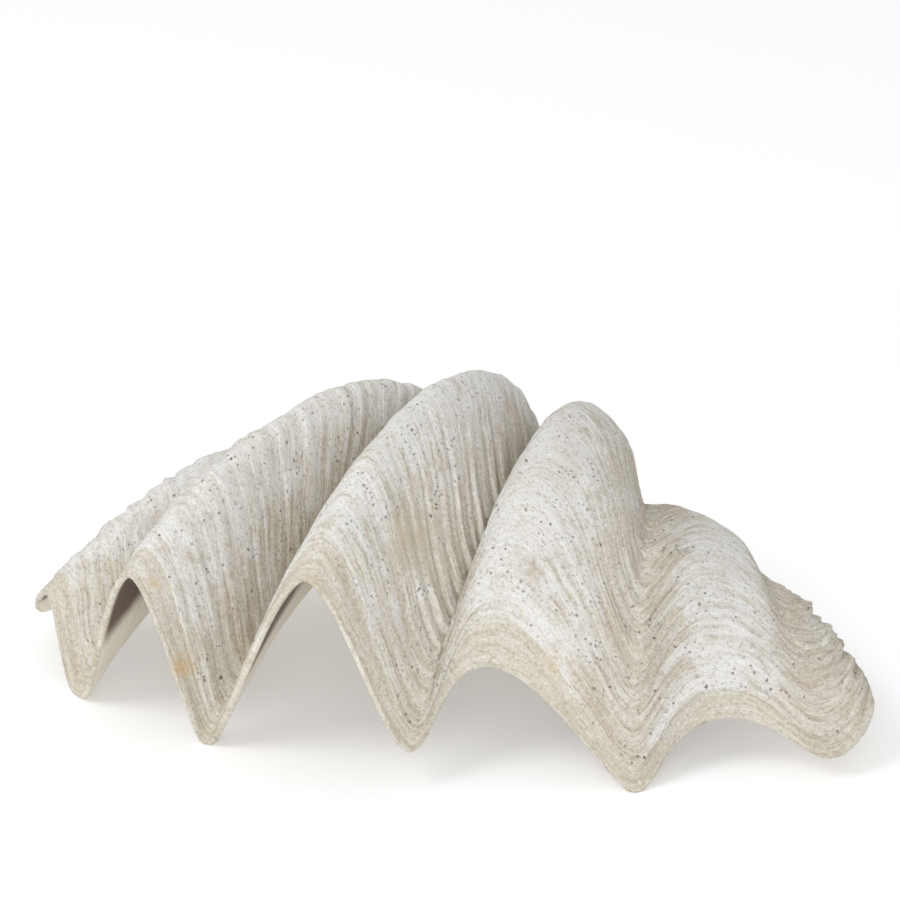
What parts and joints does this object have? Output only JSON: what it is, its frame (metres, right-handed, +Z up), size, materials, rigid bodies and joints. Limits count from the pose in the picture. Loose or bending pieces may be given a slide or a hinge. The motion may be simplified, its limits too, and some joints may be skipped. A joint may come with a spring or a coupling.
{
  "type": "giant clam half shell",
  "caption": "Fluted half shell of a giant clam: broad radiating ribs, a zigzag lip, a hollow underside, resting on its groove tips and hinge plate.",
  "frame": {"origin": "middle of the footprint, on the ground", "axes": "+X along the hinge line, -Y towards the fluted lip, +Z up with the hollow side down"},
  "size_m": [0.6954, 0.3866, 0.2535],
  "materials": {
    "shell": "matt, chalky, weathered"
  },
  "bodies": {
    "root": {"shell": "shell"}
  },
  "joints": []
}
